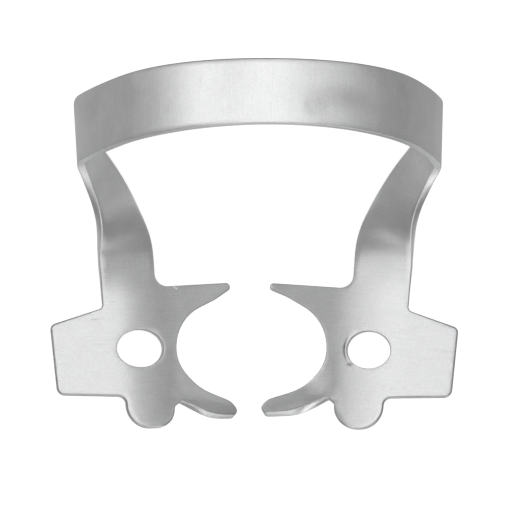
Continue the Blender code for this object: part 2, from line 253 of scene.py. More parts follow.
# Fineness of the mesh, and small distances used in making it.
STATION = 0.3  # spacing of the rows along the strip
CELLS_ACROSS = 14
JAW_GRID = 0.3
ROW_PITCH = math.sqrt(0.75)  # between rows of a triangular grid, in steps of the grid
JAW_START = 0.01  # beyond the neck, from where points belong to the grid of a jaw
ARC_STEP = 7.0  # degrees of a rounded corner between its points
SLIVER = 1e-6  # least area of a triangle that is kept
SAME_PLACE = 1e-6  # distance within which two points of the blank count as one
SHORTEST = 0.02  # least gap between points of an outline
HOLE_SIDES = 72
EDGE_STEPS = 4
FRAME_STEP = 0.05  # spacing of the points of the strip's middle line
CROWN_SIDE = 1e-9  # puts the very middle of the crown on the right side
LOOK_AHEAD = 0.01  # distance over which the slope of the jaw's form is taken
EDGE_SAMPLE = 0.05  # spacing of the points at which the edge rounding is blended
RIM_CLEAR = 0.42  # least gap from a grid point of a jaw to the rim's, in steps of the grid
SHEET_SPAN = 80.0  # length of blank that the chart of the sheet spans

# Studio: each soft box with the direction towards it, its width and height in metres and its level.
LAMP_DISTANCE = 0.5
SOFT_BOXES = (
    ("top box", (-0.005, 0.368, 0.93), (0.42, 0.285), 1.73),
    ("overhead box", (0.05, -0.1, 1.0), (0.3, 0.2), 0.64),
    ("left strip", (-0.774, 0.359, 0.521), (0.1, 0.21), 3.6),
    ("right strip", (0.717, 0.393, 0.575), (0.132, 0.14), 1.56),
    ("front box", (-0.37, -0.54, 0.756), (0.29, 0.53), 0.95),
    ("low front box", (0.02, -0.97, 0.24), (0.6, 0.2), 1.5),
    ("right front box", (0.5, -0.72, 0.42), (0.24, 0.36), 1.4),
)
WORLD_LEVEL = 0.33
FLOOR_HALF = 1.5
PAPER = 0.42
PAPER_ROUGHNESS = 0.9
PAPER_SHEEN = 0.1
FLOOR_LIFT = 0.8  # light that the floor gives off only where the camera sees it, to look white
MIRROR_LIFT = 0.47  # of the floor close to the clamp, as mirror rays see it
MIRROR_REACH = (0.02, 0.016, 1.0)

# The camera stands almost straight above the clamp, as in the photo: metres, degrees, millimetres.
CAMERA_PLACE = (-0.023664, 0.022585, 0.300366)
CAMERA_TURN = (-4.6119, -4.4848, 0.8834)
SENSOR_WIDTH = 36.0
LENS = 317.9
CLIP = (0.01, 10.0)  # metres


class Sums:
    """Arithmetic in a node tree, where numbers and sockets can be mixed."""

    def __init__(self, tree):
        self.tree = tree

    def add_node(self, kind, inputs=(), **settings):
        node = self.tree.nodes.new(kind)
        for name, value in settings.items():
            setattr(node, name, value)
        for key, value in dict(inputs).items():
            self.feed(value, node.inputs[key])
        return node

    def feed(self, value, socket):
        if isinstance(value, bpy.types.NodeSocket):
            self.tree.links.new(value, socket)
        else:
            socket.default_value = value

    def math(self, operation, *values):
        node = self.tree.nodes.new("ShaderNodeMath")
        node.operation = operation
        for value, socket in zip(values, node.inputs):
            self.feed(value, socket)
        return node.outputs[0]

    def vector(self, operation, *values):
        node = self.tree.nodes.new("ShaderNodeVectorMath")
        node.operation = operation
        for value, socket in zip(values, node.inputs):
            self.feed(value, socket)
        return node.outputs[0]

    def scaled(self, vector, amount):
        node = self.tree.nodes.new("ShaderNodeVectorMath")
        node.operation = "SCALE"
        self.feed(vector, node.inputs[0])
        self.feed(amount, node.inputs["Scale"])
        return node.outputs[0]

    def total(self, kind, values):
        result = values[0]
        for value in values[1:]:
            result = kind("ADD", result, value)
        return result

    def eased(self, value):
        """Nought to one with a smooth start and end."""
        node = self.tree.nodes.new("ShaderNodeMapRange")
        node.interpolation_type = "SMOOTHSTEP"
        self.feed(value, node.inputs["Value"])
        return node.outputs[0]

    def ramp(self, value, width):
        """Zero below nought, then rising one for one, with a rounded start."""
        square = self.math("ADD", self.math("MULTIPLY", value, value), width * width)
        return self.math("MULTIPLY", self.math("ADD", value, self.math("SQRT", square)), 0.5)


def smooth(a):
    a = np.clip(a, 0.0, 1.0)
    return a * a * (3.0 - 2.0 * a)


def strip_rates(s):
    """Bend, turn and twist of the strip per millimetre, at distances s from the crown."""
    rows = (CROWN, HAUNCH, SIDE, CORNER, LEG, NECK)
    rates = np.zeros((len(s), 3))
    start = 0.0
    for number, (length, *angles) in enumerate(rows):
        end = start + length
        if number == len(rows) - 1:
            end -= BEND_EASE
        part = 1.0 - smooth(0.5 + 0.5 * (s - end) / BEND_EASE)
        if number:
            part = part - (1.0 - smooth(0.5 + 0.5 * (s - start) / BEND_EASE))
        rates += part[:, None] * np.radians(angles)[None, :] / (end - start)
        start = end
    return rates


def make_spine():
    """The strip's middle line as a row of points, with its directions and rates kept on them."""
    count = int(math.ceil(RUN / FRAME_STEP))
    step = RUN / count
    middle = (np.arange(count) + 0.5) * step
    bend, turn, twist = strip_rates(middle).T
    axes = np.array([[1.0, 0.0, 0.0], [0.0, -1.0, 0.0], [0.0, 0.0, 1.0]])
    along, across, out = axes
    place = np.zeros(3)
    rows = [(place, along, across, out)]
    for bent, turned, twisted in zip(bend * step, turn * step, twist * step):
        before = along
        along, across, out = (
            along - bent * out + turned * across,
            across - turned * along + twisted * out,
            out + bent * along - twisted * across,
        )
        along = along / np.linalg.norm(along)
        across = across - along * across.dot(along)
        across = across / np.linalg.norm(across)
        out = out - along * out.dot(along) - across * out.dot(across)
        out = out / np.linalg.norm(out)
        place = place + 0.5 * step * (before + along)
        rows.append((place, along, across, out))
    places, alongs, acrosses, outs = (np.array(kind) for kind in zip(*rows))
    _, turns, twists = strip_rates(np.linspace(0.0, RUN, count + 1)).T
    mesh = bpy.data.meshes.new("spine")
    mesh.from_pydata(places.tolist(), [], [])
    for name, values in (("along", alongs), ("across", acrosses), ("out", outs)):
        kept = mesh.attributes.new(name, "FLOAT_VECTOR", "POINT")
        kept.data.foreach_set("vector", values.ravel())
    for name, values in (("turn", turns), ("twist", twists)):
        kept = mesh.attributes.new(name, "FLOAT", "POINT")
        kept.data.foreach_set("value", values)
    spine = bpy.data.objects.new("spine", mesh)
    bpy.context.scene.collection.objects.link(spine)
    return spine, count


def strip_width(s):
    to_side = smooth(s / CROWN_TAPER)
    to_neck = smooth((s - (RUN - NECK_TAPER)) / (NECK_TAPER - NECK_STRAIGHT))
    return CROWN_WIDTH + (SIDE_WIDTH - CROWN_WIDTH) * to_side + (NECK_WIDTH - SIDE_WIDTH) * to_neck


def strip_edge(s, bulge):
    """Distance of the strip's edge from its middle line, with a bulge that grows along the leg."""
    return 0.5 * strip_width(s) + bulge * smooth((s - RUN + LEG_BULGE_BACK) / LEG_BULGE_RUN)


def rounded(corners, longest):
    """Points of a line through corners (v, p, radius, edge rounding) with its corners rounded off."""
    spots = [Vector(corner[:2]) for corner in corners]
    lengths = [(ahead - here).length for here, ahead in zip(spots, spots[1:])]
    aims = [(ahead - here).normalized() for here, ahead in zip(spots, spots[1:])]
    turns = [0.0] + [before.angle_signed(ahead) for before, ahead in zip(aims, aims[1:])] + [0.0]
    cuts = [corner[2] * math.tan(0.5 * abs(turn)) for corner, turn in zip(corners, turns)]
    fits = [min(1.0, length / (a + b)) for length, a, b in zip(lengths, cuts[1:], cuts) if a + b > 0.0]
    shares = [min(a, b) for a, b in zip([1.0] + fits, fits + [1.0])]
    points = []
    befores = aims[:1] + aims
    for corner, spot, turn, share, before in zip(corners, spots, turns, shares, befores):
        radius = share * corner[2]
        if radius == 0.0:
            points.append((spot.x, spot.y, corner[3]))
            continue
        side = 1.0 if turn > 0.0 else -1.0
        toward = Vector((before.y, -before.x)) * side
        start = spot - before * radius * math.tan(0.5 * abs(turn))
        count = max(2, math.ceil(math.degrees(abs(turn)) / ARC_STEP))
        for i in range(count + 1):
            angle = abs(turn) * i / count
            place = start + before * radius * math.sin(angle) + toward * radius * (1.0 - math.cos(angle))
            points.append((place.x, place.y, corner[3]))
    path = points[:1]
    for point in points[1:]:
        last = path[-1]
        gap = math.dist(point[:2], last[:2])
        pieces = math.ceil(gap / longest) if gap > SHORTEST else 0
        for i in range(1, pieces + 1):
            path.append(tuple(a + (b - a) * i / pieces for a, b in zip(last, point)))
    return path


def jaw_outline(jaw):
    """A jaw's edge from the neck's cheek side, round wing, tab, prongs and arch, to its tooth side."""
    shift, reach, set_back = jaw["shift"], jaw["reach"], jaw["set_back"]
    neck = 0.5 * NECK_WIDTH
    neck_back = -neck - jaw["wider"]
    wing = WING_REACH - shift
    tab_out = TAB_MIDDLE + 0.5 * TAB_WIDTH - shift
    tab_in = tab_out - TAB_WIDTH
    tab_round = TAB_ROUND * TAB_WIDTH
    arch = -ARCH_SIDE - shift - reach
    tip = -PRONG_REACH - shift - reach
    front_tip = tip + jaw["short"]
    front = FRONT_PRONG_FRONT - set_back
    front_corner = front - jaw["tip_back"]
    return rounded(
        (
            (neck + LEG_BULGE, 0.0, 0.0, CRISP),
            (neck, WING_BACK - WING_SLANT, WING_ROOT_ROUND, CRISP),
            (wing, WING_BACK, WING_BACK_ROUND, SOFT),
            (wing - WING_LEAN, WING_FRONT, WING_FRONT_ROUND, SOFT),
            (tab_out, WING_FRONT + WING_DIP, TAB_ROOT_ROUND, SOFT),
            (tab_out, TAB_FRONT, tab_round, SOFT),
            (tab_in, TAB_FRONT, tab_round, SOFT),
            (tab_in, NOTCH_BACK + NOTCH_MOUTH - set_back, NOTCH_ROUND, CRISP),
            (tab_in - NOTCH_GAP, NOTCH_BACK - set_back, NOTCH_ROUND, CRISP),
            (tab_in - BROW_SIDE, front - BROW_BACK, BROW_ROUND, CRISP),
            (front_tip, front_corner, FRONT_PRONG_FRONT_ROUND, CRISP),
            (front_tip + FRONT_PRONG_SLANT, front_corner - FRONT_PRONG_TIP, FRONT_PRONG_BACK_ROUND, CRISP),
            (arch - HAUNCH_SIDE, HAUNCH_FRONT, HAUNCH_RADIUS, CRISP),
            (arch, ARCH_FRONT, ARCH_RADIUS, CRISP),
            (arch, ARCH_BACK, ARCH_BACK_RADIUS, CRISP),
            (tip + FLANK_SIDE, BACK_PRONG_BACK + jaw["flank"], FLANK_RADIUS, CRISP),
            (tip, BACK_PRONG_BACK + BACK_PRONG_TIP, BACK_PRONG_ROUND, CRISP),
            (tip, BACK_PRONG_BACK, BACK_PRONG_ROUND, CRISP),
            (neck_back, BACK_PRONG_BACK + BACK_PRONG_SLANT, BACK_PRONG_ROOT, CRISP),
            (neck_back, 0.0, 0.0, CRISP),
        ),
        JAW_GRID,
    )


def blend_edges(loop):
    """Let the edge rounding of a closed outline change gently from crisp to soft."""
    gaps = np.linalg.norm(np.roll(loop[:, :2], -1, axis=0) - loop[:, :2], axis=1)
    length = gaps.sum()
    at = np.concatenate([[0.0], np.cumsum(gaps)[:-1]])
    count = int(round(length / EDGE_SAMPLE))
    even = np.arange(count) * length / count
    edge = np.interp(even, at, loop[:, 2], period=length)
    width = int(round(EDGE_BLEND / EDGE_SAMPLE)) | 1
    window = np.hanning(width + 2)[1:-1]
    wrapped = np.concatenate([edge[-(width // 2) :], edge, edge[: width // 2]])
    edge = np.convolve(wrapped, window / window.sum(), mode="valid")
    loop[:, 2] = np.interp(at, even, edge, period=length)
    return loop


def blank_loops():
    """Edge of the whole blank and of its two holes, as rows of u, v and edge rounding."""
    count = math.ceil(RUN / STATION)
    s = np.linspace(0.0, RUN, count + 1)[:-1]
    crisp = np.full(count, CRISP)
    front = np.stack([s, strip_edge(s, LEG_BULGE), crisp], 1)
    backs = []
    flip = np.array([-1.0, 1.0, 1.0])
    jaws = []
    holes = []
    for jaw in (RIGHT_JAW, LEFT_JAW):
        side = jaw["side"]
        backs.append(np.stack([s, -strip_edge(s, jaw["wider"]), crisp], 1)[::-1])
        jaws.append(np.array([(RUN + p, v, rounding) for v, p, rounding in jaw_outline(jaw)]))
        angle = side * 2.0 * math.pi * np.arange(HOLE_SIDES) / HOLE_SIDES
        u = side * (RUN + HOLE_P + 0.5 * HOLE_ALONG * np.cos(angle))
        v = HOLE_V - jaw["shift"] + 0.5 * jaw["hole_across"] * np.sin(angle)
        holes.append(np.stack([u, v, np.full(HOLE_SIDES, HOLE_EDGE)], 1))
    left_back = (backs[1] * flip)[::-1][1:]
    left_jaw = (jaws[1] * flip)[::-1]
    left_front = (front * flip)[::-1][:-1]
    outer = np.concatenate([front, jaws[0], backs[0], left_back, left_jaw, left_front])
    return [blend_edges(outer)] + holes


def inward(points):
    """Directions into the sheet at the points of a loop that keeps the sheet on its right."""
    ahead = np.roll(points, -1, axis=0) - points
    ahead = ahead / np.linalg.norm(ahead, axis=1)[:, None]
    normal = np.stack([ahead[:, 1], -ahead[:, 0]], 1)
    both = normal + np.roll(normal, 1, axis=0)
    return both / (0.5 * (both * both).sum(1))[:, None]


def inside_of(points, loop):
    """Whether each point lies within a closed loop."""
    x, y = points[:, 0], points[:, 1]
    odd = np.zeros(len(points), bool)
    for (x0, y0), (x1, y1) in zip(loop, np.roll(loop, -1, axis=0)):
        if y0 != y1:
            crossing = (y0 > y) != (y1 > y)
            odd ^= crossing & (x < (x1 - x0) * (y - y0) / (y1 - y0) + x0)
    return odd


def inner_points(rims):
    """Points over the blank between its rims: rows across the strip, a grid over the jaws."""
    count = math.ceil(RUN / STATION)
    s = np.linspace(0.0, RUN, count + 1)
    share = np.arange(1, CELLS_ACROSS) / CELLS_ACROSS - 0.5
    across = share[None, :] * (strip_width(s) - 2.0 * CRISP)[:, None]
    strip = np.stack([np.repeat(s, len(share)), across.ravel()], 1)
    furthest = np.abs(rims[0]).max(0)
    pitch = JAW_GRID * ROW_PITCH
    rows = np.arange(-math.ceil(furthest[1] / JAW_GRID), math.ceil(furthest[1] / JAW_GRID))
    columns = np.arange(1, math.ceil((furthest[0] - RUN) / pitch))
    grid = [(RUN + pitch * c, JAW_GRID * (r + 0.5 * (c % 2))) for c in columns for r in rows]
    half = np.concatenate([strip, np.array(grid)])
    points = np.concatenate([half, (half * np.array([-1.0, 1.0]))[len(share) :]])
    keep = inside_of(points, rims[0])
    for rim in rims[1:]:
        keep &= ~inside_of(points, rim)
    edge = np.concatenate(rims)
    jaw = np.abs(points[:, 0]) > RUN + JAW_START
    gap = np.array([np.linalg.norm(edge - point, axis=1).min() for point in points])
    return points[keep & (~jaw | (gap > RIM_CLEAR * JAW_GRID))]


def make_blank():
    """The flat blank as a closed mesh with rounded edges, its corners being u, v and height."""
    loops = blank_loops()
    half = 0.5 * THICKNESS
    count = 2 * (EDGE_STEPS + 1)
    rings = [[] for _ in range(count)]
    rims = []
    for loop in loops:
        points, edge = loop[:, :2], loop[:, 2]
        normal = inward(points)
        for number in range(EDGE_STEPS + 1):
            angle = 0.5 * math.pi * number / EDGE_STEPS
            ring = points + normal * (edge * (1.0 - math.sin(angle)))[:, None]
            height = half - edge * (1.0 - math.cos(angle))
            rings[number].append(np.column_stack([ring, height]))
            rings[count - 1 - number].append(np.column_stack([ring, -height]))
        rims.append(points + normal * edge[:, None])
    inner = inner_points(rims)
    everything = np.concatenate(rims + [inner])
    ties = []
    start = 0
    for rim in rims:
        ties += [(start + i, start + (i + 1) % len(rim)) for i in range(len(rim))]
        start += len(rim)
    found = delaunay_2d_cdt([Vector(point) for point in everything], ties, [], 0, SAME_PLACE)
    came_from = [origin[0] for origin in found[3]]
    triangles = np.array([[came_from[i] for i in face] for face in found[2]])
    a, b, c = (everything[triangles[:, i]] for i in range(3))
    middle = (a + b + c) / 3.0
    area = 0.5 * np.abs((b[:, 0] - a[:, 0]) * (c[:, 1] - a[:, 1]) - (b[:, 1] - a[:, 1]) * (c[:, 0] - a[:, 0]))
    keep = inside_of(middle, rims[0]) & (area > SLIVER)
    for rim in rims[1:]:
        keep &= ~inside_of(middle, rim)
    triangles = triangles[keep]
    size = start
    level = np.full((len(inner), 1), half)
    corners = np.concatenate(
        [np.concatenate(ring) for ring in rings] + [np.hstack([inner, level]), np.hstack([inner, -level])]
    )
    on_rim = triangles < size
    upper = np.where(on_rim, triangles, triangles + (count - 1) * size)
    lower = np.where(on_rim, triangles + (count - 1) * size, triangles + (count - 1) * size + len(inner))
    faces = upper[:, ::-1].tolist() + lower.tolist()
    for number in range(count - 1):
        near, far = number * size, (number + 1) * size
        faces += [(near + i, far + i, far + j, near + j) for i, j in ties]
    mesh = bpy.data.meshes.new("blank")
    mesh.from_pydata(corners.tolist(), [], faces)
    mesh.shade_smooth()
    return mesh


def jaw_form():
    """Node group: how far a jaw lies below the plane of its neck at a place p, v."""
    tree = bpy.data.node_groups.new("jaw form", "GeometryNodeTree")
    for name in ("p", "v", "side"):
        tree.interface.new_socket(name, in_out="INPUT", socket_type="NodeSocketFloat")
    tree.interface.new_socket("drop", in_out="OUTPUT", socket_type="NodeSocketFloat")
    sums = Sums(tree)
    given = tree.nodes.new("NodeGroupInput")
    p, v, side = given.outputs[0], given.outputs[1], given.outputs[2]
    to_tooth = sums.math("MULTIPLY", v, -1.0)

    wing = sums.ramp(sums.math("SUBTRACT", v, WING_LEVEL_FROM), WING_LEVEL_EASE)
    wing = sums.math("MULTIPLY", wing, math.tan(math.radians(WING_LEVEL)))
    wing = sums.math("MULTIPLY", wing, sums.eased(sums.math("DIVIDE", p, WING_LEVEL_RUN)))

    dip = sums.ramp(sums.math("SUBTRACT", to_tooth, PRONG_DIP_FROM), PRONG_DIP_EASE)
    dip = sums.math("MULTIPLY", dip, math.tan(math.radians(PRONG_DIP)))
    dip = sums.math("MULTIPLY", dip, sums.eased(sums.math("DIVIDE", p, BACK_PRONG_BACK)))

    beyond = sums.math("SUBTRACT", to_tooth, ARCH_SIDE)
    off_middle = sums.math("SUBTRACT", sums.math("MULTIPLY_ADD", beyond, ROLL_RISE, ROLL_MIDDLE), p)
    too_far = sums.ramp(sums.math("SUBTRACT", off_middle, ROLL_HALF), ROLL_EASE)
    off_middle = sums.math("SUBTRACT", off_middle, too_far)
    tip_share = sums.eased(sums.math("DIVIDE", beyond, PRONG_REACH - ARCH_SIDE))
    slopes = []
    for jaw in (LEFT_JAW, RIGHT_JAW):
        root, tip = (math.tan(math.radians(jaw[name])) for name in ("root_roll", "tip_roll"))
        slopes.append(sums.math("MULTIPLY_ADD", tip_share, tip - root, root))
    right = sums.math("GREATER_THAN", side, 0.0)
    slope = sums.math("MULTIPLY_ADD", right, sums.math("SUBTRACT", slopes[1], slopes[0]), slopes[0])
    gate = sums.math(
        "MULTIPLY",
        sums.eased(sums.math("DIVIDE", sums.math("SUBTRACT", to_tooth, ROLL_FROM), ROLL_WIDTH)),
        sums.eased(sums.math("DIVIDE", sums.math("SUBTRACT", p, ROLL_BACK), ROLL_RUN)),
    )
    roll = sums.math("MULTIPLY", sums.math("MULTIPLY", off_middle, slope), gate)

    drop = sums.total(sums.math, [wing, dip, roll])
    out = tree.nodes.new("NodeGroupOutput")
    tree.links.new(drop, out.inputs[0])
    return tree


def bending(count):
    """Node tree that carries every point of the flat blank onto the bent strip."""
    tree = bpy.data.node_groups.new("bend the blank", "GeometryNodeTree")
    made = {}
    for name, kind in (
        ("Blank", "NodeSocketGeometry"),
        ("Spine", "NodeSocketObject"),
        ("Run", "NodeSocketFloat"),
        ("Steel", "NodeSocketMaterial"),
    ):
        made[name] = tree.interface.new_socket(name, in_out="INPUT", socket_type=kind).identifier
    tree.interface.new_socket("Clamp", in_out="OUTPUT", socket_type="NodeSocketGeometry")
    sums = Sums(tree)
    given = tree.nodes.new("NodeGroupInput")
    run = given.outputs["Run"]
    spine = sums.add_node("GeometryNodeObjectInfo", {"Object": given.outputs["Spine"]})
    spine = spine.outputs["Geometry"]

    flat = tree.nodes.new("GeometryNodeInputPosition").outputs[0]
    parts = sums.add_node("ShaderNodeSeparateXYZ", {0: flat})
    u, v, h = parts.outputs[0], parts.outputs[1], parts.outputs[2]
    s = sums.math("ABSOLUTE", u)
    inside = sums.math("MINIMUM", s, run)
    p = sums.math("MAXIMUM", sums.math("SUBTRACT", s, run), 0.0)
    in_jaw = sums.math("GREATER_THAN", s, run)
    on_strip = sums.math("SUBTRACT", 1.0, in_jaw)

    station = sums.math("MULTIPLY", sums.math("DIVIDE", inside, run), float(count))
    lower = sums.math("MINIMUM", sums.math("FLOOR", station), float(count - 1))
    share = sums.math("SUBTRACT", station, lower)
    upper = sums.math("ADD", lower, 1.0)

    def kept(name, kind):
        if name == "place":
            value = tree.nodes.new("GeometryNodeInputPosition").outputs[0]
        else:
            node = sums.add_node("GeometryNodeInputNamedAttribute", {"Name": name}, data_type=kind)
            value = next(socket for socket in node.outputs if socket.enabled)
        ends = []
        for index in (lower, upper):
            node = sums.add_node("GeometryNodeSampleIndex", {"Geometry": spine}, data_type=kind)
            socket = next(s for s in node.inputs if s.enabled and s.name == "Value")
            tree.links.new(value, socket)
            tree.links.new(index, node.inputs["Index"])
            ends.append(next(socket for socket in node.outputs if socket.enabled))
        mix = tree.nodes.new("ShaderNodeMix")
        mix.data_type = "VECTOR" if kind == "FLOAT_VECTOR" else "FLOAT"
        tree.links.new(share, mix.inputs["Factor"])
        for name_in, end in zip(("A", "B"), ends):
            socket = next(s for s in mix.inputs if s.enabled and s.name == name_in)
            tree.links.new(end, socket)
        return next(socket for socket in mix.outputs if socket.enabled)

    names = ("place", "along", "across", "out")
    place, along, across, out = (kept(name, "FLOAT_VECTOR") for name in names)
    turn, twist = (sums.math("MULTIPLY", kept(name, "FLOAT"), on_strip) for name in ("turn", "twist"))

    form = jaw_form()

    def drop_at(p_here, v_here):
        node = tree.nodes.new("GeometryNodeGroup")
        node.node_tree = form
        for socket, value in zip(node.inputs, (p_here, v_here, u)):
            tree.links.new(value, socket)
        return sums.math("MULTIPLY", node.outputs[0], in_jaw)

    drop = drop_at(p, v)
    ahead_v = drop_at(p, sums.math("ADD", v, LOOK_AHEAD))
    ahead_p = drop_at(sums.math("ADD", p, LOOK_AHEAD), v)
    rise_v = sums.math("DIVIDE", sums.math("SUBTRACT", ahead_v, drop), LOOK_AHEAD)
    rise_s = sums.math("DIVIDE", sums.math("SUBTRACT", ahead_p, drop), LOOK_AHEAD)
    rise_s = sums.math("ADD", rise_s, sums.math("MULTIPLY", v, twist))
    stretch = sums.math("SUBTRACT", 1.0, sums.math("MULTIPLY", turn, v))

    normal = sums.vector("SUBTRACT", out, sums.scaled(across, rise_v))
    normal = sums.vector("SUBTRACT", sums.scaled(normal, stretch), sums.scaled(along, rise_s))
    normal = sums.vector("NORMALIZE", normal)
    steps = ((across, v), (along, p), (out, drop), (normal, h))
    spot = sums.total(sums.vector, [place] + [sums.scaled(way, far) for way, far in steps])
    side = sums.math("SIGN", sums.math("ADD", u, CROWN_SIDE))
    mirror = sums.add_node("ShaderNodeCombineXYZ", {0: side, 1: 1.0, 2: 1.0})
    spot = sums.vector("MULTIPLY", spot, mirror.outputs[0])

    keep = sums.add_node("GeometryNodeStoreNamedAttribute", {"Name": "blank"}, data_type="FLOAT_VECTOR")
    keep.domain = "POINT"
    tree.links.new(given.outputs["Blank"], keep.inputs["Geometry"])
    tree.links.new(flat, next(s for s in keep.inputs if s.enabled and s.name == "Value"))
    chart = sums.add_node("ShaderNodeCombineXYZ", {0: sums.math("ADD", u, h), 1: sums.math("ADD", v, h)})
    lay = sums.add_node("GeometryNodeStoreNamedAttribute", {"Name": "sheet"}, data_type="FLOAT2")
    lay.domain = "CORNER"
    tree.links.new(keep.outputs["Geometry"], lay.inputs["Geometry"])
    chart_in = next(s for s in lay.inputs if s.enabled and s.name == "Value")
    tree.links.new(sums.scaled(chart.outputs[0], 1.0 / SHEET_SPAN), chart_in)
    bend = sums.add_node("GeometryNodeSetPosition", {"Position": spot})
    tree.links.new(lay.outputs["Geometry"], bend.inputs["Geometry"])
    whole = tree.nodes.new("GeometryNodeRealizeInstances")
    tree.links.new(bend.outputs["Geometry"], whole.inputs["Geometry"])
    paint = sums.add_node("GeometryNodeSetMaterial", {"Material": given.outputs["Steel"]})
    tree.links.new(whole.outputs["Geometry"], paint.inputs["Geometry"])
    end = tree.nodes.new("NodeGroupOutput")
    tree.links.new(paint.outputs["Geometry"], end.inputs[0])
    return tree, made


def satin_steel():
    """Steel sheet brushed across the strip, with speckle, scratches and the marks of its making, and
    with painted shade and a painted highlight on the legs, and painted shade at the rim of the jaws.
    """
    steel = bpy.data.materials.new("satin_steel")
    steel.use_nodes = True
    tree = steel.node_tree
    sums = Sums(tree)
    shader = tree.nodes["Principled BSDF"]
    shader.inputs["Metallic"].default_value = 1.0
    shader.inputs["Anisotropic"].default_value = BRUSHING
    flat = tree.nodes.new("ShaderNodeAttribute")
    flat.attribute_name = "blank"
    flat = flat.outputs["Vector"]

    def noise(detail, fineness, distortion=0.0, roughness=0.5):
        settings = {"Scale": 1.0, "Detail": detail, "Distortion": distortion, "Roughness": roughness}
        settings["Vector"] = sums.vector("MULTIPLY", flat, fineness)
        return sums.add_node("ShaderNodeTexNoise", settings).outputs["Fac"]

    def centred(value, amount):
        """A noise as a change up and down from nought."""
        return sums.math("MULTIPLY", sums.math("SUBTRACT", value, 0.5), amount)

    def patch(place, half_size):
        """One at a place u, v of the blank, falling to nought over an oval round it."""
        off = sums.vector("SUBTRACT", flat, (*place, 0.0))
        off = sums.vector("DIVIDE", off, (*half_size, ANY_HEIGHT))
        far = sums.add_node("ShaderNodeVectorMath", {0: off}, operation="LENGTH").outputs["Value"]
        return sums.math("SUBTRACT", 1.0, sums.eased(far))

    def between(value, start, end, rise, fall):
        """One between start and end, rising after the start and falling after the end."""
        up = sums.eased(sums.math("DIVIDE", sums.math("SUBTRACT", value, start), rise))
        down = sums.eased(sums.math("DIVIDE", sums.math("SUBTRACT", value, end), fall))
        return sums.math("SUBTRACT", up, down)

    grain, fine, speckle = noise(*GRAIN), noise(*FINE), noise(*SPECKLE)
    blotch, cloud = noise(*BLOTCH), noise(*CLOUD)
    line = noise(SCRATCH_DETAIL, SCRATCH_FINENESS, roughness=SCRATCH_ROUGHNESS)
    scratch = sums.eased(sums.math("DIVIDE", sums.math("SUBTRACT", line, SCRATCH_FROM), SCRATCH_EASE))

    smudge = sums.math("MULTIPLY", patch(*SMUDGE), sums.eased(blotch))
    haze = sums.math("MULTIPLY", patch(*HAZE), sums.math("ADD", blotch, HAZE_LEAST))
    spot = sums.math("MULTIPLY", patch(*SPOT), speckle)
    nick = sums.total(sums.math, [patch(place, NICK_SIZE) for place in NICK])

    middle = (RIGHT_JAW["side"] * (RUN + HOLE_P), HOLE_V - RIGHT_JAW["shift"], 0.0)
    size = (0.5 * HOLE_ALONG, 0.5 * RIGHT_JAW["hole_across"], ANY_HEIGHT)
    out = sums.vector("DIVIDE", sums.vector("SUBTRACT", flat, middle), size)
    ring = sums.add_node("ShaderNodeVectorMath", {0: out}, operation="LENGTH").outputs["Value"]
    ring = sums.math("ABSOLUTE", sums.math("SUBTRACT", ring, BURR_RING))
    ring = sums.math("SUBTRACT", 1.0, sums.eased(sums.math("DIVIDE", ring, BURR_WIDTH)))
    tooth_side = sums.math("MULTIPLY", sums.add_node("ShaderNodeSeparateXYZ", {0: out}).outputs[1], -1.0)
    tooth_side = sums.eased(sums.math("DIVIDE", sums.math("SUBTRACT", tooth_side, BURR_FROM), BURR_EASE))
    burr = sums.math("MULTIPLY", ring, tooth_side)
    burr = sums.math("MULTIPLY", burr, sums.math("MULTIPLY", blotch, BURR_BLOTCH))

    patterns = {"grain": grain, "fine": fine, "speckle": speckle, "blotch": blotch, "cloud": cloud}
    changes = [centred(patterns[name], amount) for name, amount in TONE_OF.items()]
    tone = sums.total(sums.math, changes + [STEEL_TONE])
    marks = (
        (smudge, SMUDGE_DEPTH),
        (haze, HAZE_DEPTH),
        (spot, SPOT_DEPTH),
        (burr, BURR_DEPTH),
        (scratch, SCRATCH_DEPTH),
    )
    for mark, depth in marks:
        tone = sums.math("SUBTRACT", tone, sums.math("MULTIPLY", mark, depth))
    tone = sums.math("MULTIPLY_ADD", nick, NICK_LIFT, tone)

    parts = sums.add_node("ShaderNodeSeparateXYZ", {0: flat}).outputs
    s = sums.math("ABSOLUTE", parts[0])
    # Painted shade over one stretch of each leg, which is also made rougher further on, and a painted
    # highlight over the next stretch.
    shade_and_dull = between(s, *SHADE_AND_DULL_BEND)
    tone = sums.math("MULTIPLY_ADD", shade_and_dull, -PAINTED_SHADE_DEPTH, tone)
    tone = sums.math("MULTIPLY_ADD", between(s, *PAINTED_HIGHLIGHT_BEND), PAINTED_HIGHLIGHT_LIFT, tone)
    # Painted shade on the rounded rim of the jaws, just below the face, where the edge curves away from the
    # light.
    below_face = sums.math("SUBTRACT", 0.5 * THICKNESS, sums.math("ABSOLUTE", parts[2]))
    on_jaw = sums.eased(sums.math("SUBTRACT", s, RUN))
    rim = sums.math("MULTIPLY", between(below_face, *PAINTED_RIM_BAND), on_jaw)
    tone = sums.math("MULTIPLY", tone, sums.math("MULTIPLY_ADD", rim, -PAINTED_RIM_SHADE, 1.0))
    green = sums.math("MULTIPLY", tone, GREEN_SHARE)
    blue = sums.math("MULTIPLY", tone, BLUE_SHARE)
    colour = sums.add_node("ShaderNodeCombineColor", {0: tone, 1: green, 2: blue})
    tree.links.new(colour.outputs[0], shader.inputs["Base Color"])

    changes = [centred(patterns[name], amount) for name, amount in ROUGHNESS_OF.items()]
    rough = sums.total(sums.math, changes + [STEEL_ROUGHNESS])
    rough = sums.math("MULTIPLY_ADD", burr, BURR_ROUGHNESS, rough)
    rough = sums.math("MULTIPLY_ADD", shade_and_dull, DULL_ROUGHNESS, rough)
    tree.links.new(rough, shader.inputs["Roughness"])

